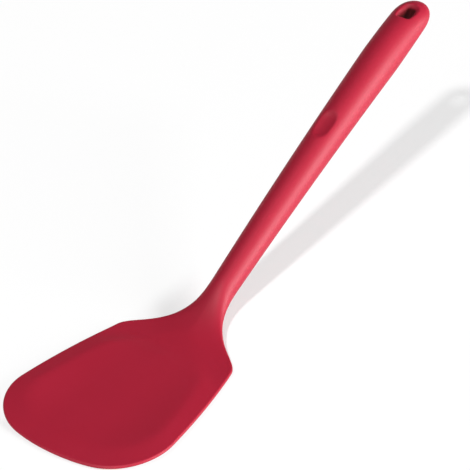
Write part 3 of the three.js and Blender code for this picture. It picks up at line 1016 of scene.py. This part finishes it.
@dataclass
class PinPlugs:
    """Silicone plugs that close the holes left underneath by the mould pins."""

    skin: SiliconeSkin
    bend: NodeTree
    finish: Material
    name: str = "pin_plugs"
    radius: float = 0.0022
    edge_radius: float = 0.0002
    set_in: float = 0.00006
    depth: float = 0.0009
    sides: int = 48
    rings: int = 5
    bevel_points: int = 5
    labels: tuple[str, str] = ("half_depth", "half_width")

    def build(self) -> Object:
        """Builds every plug in its place."""
        plan = self.skin.plan
        places = self.skin.plug_places
        blank = linked("plug_blank", self._blank())
        mesh = bpy.data.meshes.new(self.name)
        mesh.from_pydata([(x, 0.0, 0.0) for x in places], [], [])
        halves = [
            (float(plan.half_depth(x)), float(plan.half_width(x))) if x > plan.blade_length
            else (plan.blade_thickness / 2, plan.blade_width) for x in places]
        for label, values in zip(self.labels, zip(*halves)):
            mesh.attributes.new(label, "FLOAT", "POINT").data.foreach_set("value", list(values))

        def seat(graph: Graph, geometry: Wire) -> Wire:
            """Stands a blank at each place and lets its face follow the round underside."""
            info = graph.add("GeometryNodeObjectInfo", {"transform_space": "ORIGINAL"}, {
                "Object": blank}, "Geometry")
            copies = graph.add("GeometryNodeInstanceOnPoints", {}, {
                "Points": geometry, "Instance": info})
            solid = graph.add("GeometryNodeRealizeInstances", {}, {"Geometry": copies})
            half_depth, half_width = (
                graph.add("GeometryNodeInputNamedAttribute", {"data_type": "FLOAT"}, {
                    "Name": label})
                for label in self.labels)
            position = graph.add("GeometryNodeInputPosition")
            spot = graph.add("ShaderNodeSeparateXYZ", {}, {0: position})
            across = graph.other(spot, "Y") / half_width
            drop = -half_depth * across.math("SQRT", 1.0 - across * across)
            shift = graph.add("ShaderNodeCombineXYZ", {}, {"Z": drop})
            return graph.add("GeometryNodeSetPosition", {}, {"Geometry": solid, "Offset": shift})

        made = bent_piece(linked(self.name, mesh), self.bend, self.finish, seat)
        bpy.data.objects.remove(blank)
        return made

    def _blank(self) -> Mesh:
        """Makes one plug about the z axis, with its face just above z = 0 and its back up."""
        edge = self.edge_radius
        bevel = np.linspace(0.0, QUARTER_TURN, self.bevel_points)
        flat = np.linspace(0.0, self.radius - edge, self.rings + 1)[1:-1]
        profile = [(r, 0.0) for r in flat]
        profile += [(self.radius - edge * (1 - math.sin(a)), edge * (1 - math.cos(a)))
                    for a in bevel]
        profile += [(self.radius, self.depth)]
        angles = np.linspace(0.0, 2 * math.pi, self.sides, endpoint=False)
        rows = np.array([[(r * math.cos(a), r * math.sin(a), self.set_in + h) for a in angles]
                         for r, h in profile])
        parts = MeshParts()
        grid = parts.add_points(rows)
        heights = (self.set_in, self.set_in + self.depth)
        ends = parts.add_points(np.array([[0.0, 0.0, height] for height in heights]))
        caps = [np.full((1, self.sides), end) for end in ends]
        parts.add_grid(np.concatenate([caps[0], grid, caps[1]]), flip=True, closed=True)
        return parts.mesh("plug_blank")


@dataclass
class SteelCore:
    """The riveted steel core inside the silicone, kept as packed and given its finish."""

    nodes: dict[str, Object]
    finish: Material
    names: tuple[str, ...] = (
        "blade_plate", "handle_core", "core_rivet_front", "core_rivet_rear")

    def dress(self) -> list[Object]:
        """Gives each steel piece its finish and returns the pieces."""
        pieces = [self.nodes[name] for name in self.names]
        for piece in pieces:
            piece.data.materials.clear()
            piece.data.materials.append(self.finish)
        return pieces


@dataclass(frozen=True)
class Softbox:
    """One area lamp: where it stands, where it looks, and how bright it is."""

    name: str
    place: Triple
    aim: Triple
    size: Pair
    watts: float

    def build(self) -> None:
        """Stands the lamp in the scene."""
        lamp = bpy.data.lights.new(self.name, "AREA")
        lamp.shape = "RECTANGLE"
        lamp.size, lamp.size_y = self.size
        lamp.energy = self.watts
        stood = linked(self.name, lamp)
        stood.location = self.place
        towards = Vector(self.aim) - Vector(self.place)
        stood.rotation_euler = towards.to_track_quat("-Z", "Y").to_euler()


@dataclass
class Studio:
    """White sweep, soft lamps and the camera."""

    floor_finish: FloorFinish = FloorFinish()
    floor_reach: float = 6.0
    sweep_radius: float = 1.3
    sweep_sides: int = 96
    sweep_steps: int = 10
    ambient: float = 0.10
    camera_turn: float = 0.9594
    camera_height: float = 0.5917
    camera_distance: float = 1.1
    pivot: Triple = (0.00988, 0.0, 0.0217)
    pivot_pixel: Pair = (260.76, 246.20)
    frame_pixels: float = 470.0
    lens: float = 165.25
    sensor: float = 36.0
    clip_end: float = 20.0
    lamps: tuple[Softbox, ...] = (
        Softbox("side_panel", (0.79, -2.57, 0.85), (0.0, 0.0, 0.05), (0.7, 1.7), 138.0),
        Softbox("front_lamp", (-2.49, -0.37, 3.09), (0.05, 0.0, 0.03), (0.30, 0.30), 94.0),
        Softbox("front_fill", (-2.30, -0.90, 0.45), (-0.1, 0.0, 0.02), (1.2, 0.7), 13.0),
    )

    def build(self) -> None:
        """Builds the floor, the lamps, the world and the camera."""
        self._floor()
        for lamp in self.lamps:
            lamp.build()
        world = bpy.data.worlds.new("studio")
        world.use_nodes = True
        graph = Graph(world.node_tree)
        air = graph.add("ShaderNodeBackground", {}, {"Color": WHITE, "Strength": self.ambient})
        graph.add("ShaderNodeOutputWorld", {}, {"Surface": air})
        bpy.context.scene.world = world
        bpy.context.scene.view_settings.view_transform = "Standard"
        self._camera()

    def _floor(self) -> None:
        """Lays the white floor under the object, with a rim that sweeps up all round."""
        turn = np.linspace(0.0, 2 * math.pi, self.sweep_sides, endpoint=False)
        rise = np.linspace(0.0, QUARTER_TURN, self.sweep_steps + 1)[:, None]
        radius = self.floor_reach + self.sweep_radius * np.sin(rise)
        lift = self.sweep_radius * (1.0 - np.cos(rise))
        height = np.broadcast_to(lift, (len(rise), len(turn)))
        ring = np.stack([radius * np.cos(turn), radius * np.sin(turn), height], axis=-1)
        parts = MeshParts()
        middle = parts.add_points(np.zeros((1, 3)))
        rows = parts.add_points(ring)
        hub = np.repeat(middle[None], len(turn), axis=1)
        parts.add_grid(np.concatenate([hub, rows]), closed=True)
        floor = linked("floor", parts.mesh("floor"))
        floor.data.materials.append(self.floor_finish.material())

    def _camera(self) -> None:
        """Stands the camera at the photograph's angle."""
        data = bpy.data.cameras.new("camera")
        data.sensor_width = self.sensor
        data.lens = self.lens
        data.clip_end = self.clip_end
        level = math.cos(self.camera_height)
        away = Vector((-level * math.sin(self.camera_turn), -level * math.cos(self.camera_turn),
                       math.sin(self.camera_height)))
        camera = linked("camera", data)
        camera.location = Vector(self.pivot) + self.camera_distance * away
        focal = self.lens / self.sensor * self.frame_pixels
        left, up = (
            math.atan((pixel - self.frame_pixels / 2) / focal) for pixel in self.pivot_pixel)
        look = (-away).to_track_quat("-Z", "Y") @ Euler((up, left, 0.0)).to_quaternion()
        camera.rotation_euler = look.to_euler()
        bpy.context.scene.camera = camera


def bent_piece(piece: Object, bend: NodeTree, finish: Material,
               shape: Callable | None = None) -> Object:
    """Bends a flat piece along the spine and makes the result its plain mesh.

    Args:
        piece: The flat piece.
        bend: The node group that bends a layout.
        finish: The material that the piece gets.
        shape: A function that adds nodes before the bend, given the graph and the geometry.

    Returns:
        The same object with a plain, bent mesh.
    """
    graph = Graph(bpy.data.node_groups.new(f"{piece.name}_shape", "GeometryNodeTree"))
    graph.socket("Geometry", "Geometry")
    graph.socket("Finish", "Material")
    graph.socket("Geometry", "Geometry", out=True)
    given = graph.add("NodeGroupInput", output="Geometry")
    flat = shape(graph, given) if shape else given
    bent = graph.add("GeometryNodeGroup", {"node_tree": bend}, {"Geometry": flat})
    real = graph.add("GeometryNodeRealizeInstances", {}, {"Geometry": bent})
    dressed = graph.add("GeometryNodeSetMaterial", {}, {
        "Geometry": real, "Material": graph.other(given, "Finish")})
    graph.add("NodeGroupOutput", {}, {"Geometry": dressed})

    modifier = piece.modifiers.new("shape", "NODES")
    modifier.node_group = graph.tree
    sockets = {item.name: item.identifier for item in graph.tree.interface.items_tree
               if item.in_out == "INPUT"}
    modifier[sockets["Finish"]] = finish
    evaluated = piece.evaluated_get(bpy.context.evaluated_depsgraph_get())
    plain = bpy.data.meshes.new_from_object(evaluated)
    piece.modifiers.clear()
    piece.data = plain
    plain.name = piece.name
    return piece


def main() -> None:
    """Builds the turner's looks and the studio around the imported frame."""
    logging.basicConfig(level=logging.INFO, format="%(name)s: %(message)s")
    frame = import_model()
    plan = TurnerPlan()
    low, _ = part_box("silicone_skin")
    origin = Vector((low.x, 0.0, low.z + plan.blade_thickness / 2))
    spine = Spine()
    bend = spine.group(origin)
    silicone = SiliconeFinish().material()

    plug_nodes = [name for name in frame["nodes"] if name.startswith("pin_plug")]
    plug_boxes = [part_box(name) for name in plug_nodes]
    plug_places = [spine.station((low + high) / 2 - origin) for low, high in plug_boxes]
    skin = SiliconeSkin(plan, bend, silicone, plug_places)
    body = skin.build()
    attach(body, BODY)
    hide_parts("silicone_skin")
    LOG.info("%s has %d faces", body.name, len(body.data.polygons))

    line = PartingLine(skin, bend, silicone).build()
    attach(line, BODY)
    LOG.info("%s has %d faces", line.name, len(line.data.polygons))

    plugs = PinPlugs(skin, bend, silicone).build()
    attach(plugs, BODY)
    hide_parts(*plug_nodes)
    LOG.info("%s has %d faces", plugs.name, len(plugs.data.polygons))

    for piece in SteelCore(frame["nodes"], SteelFinish().material()).dress():
        LOG.info("%s is dressed", piece.name)

    Studio().build()


if __name__ == "__main__":
    main()
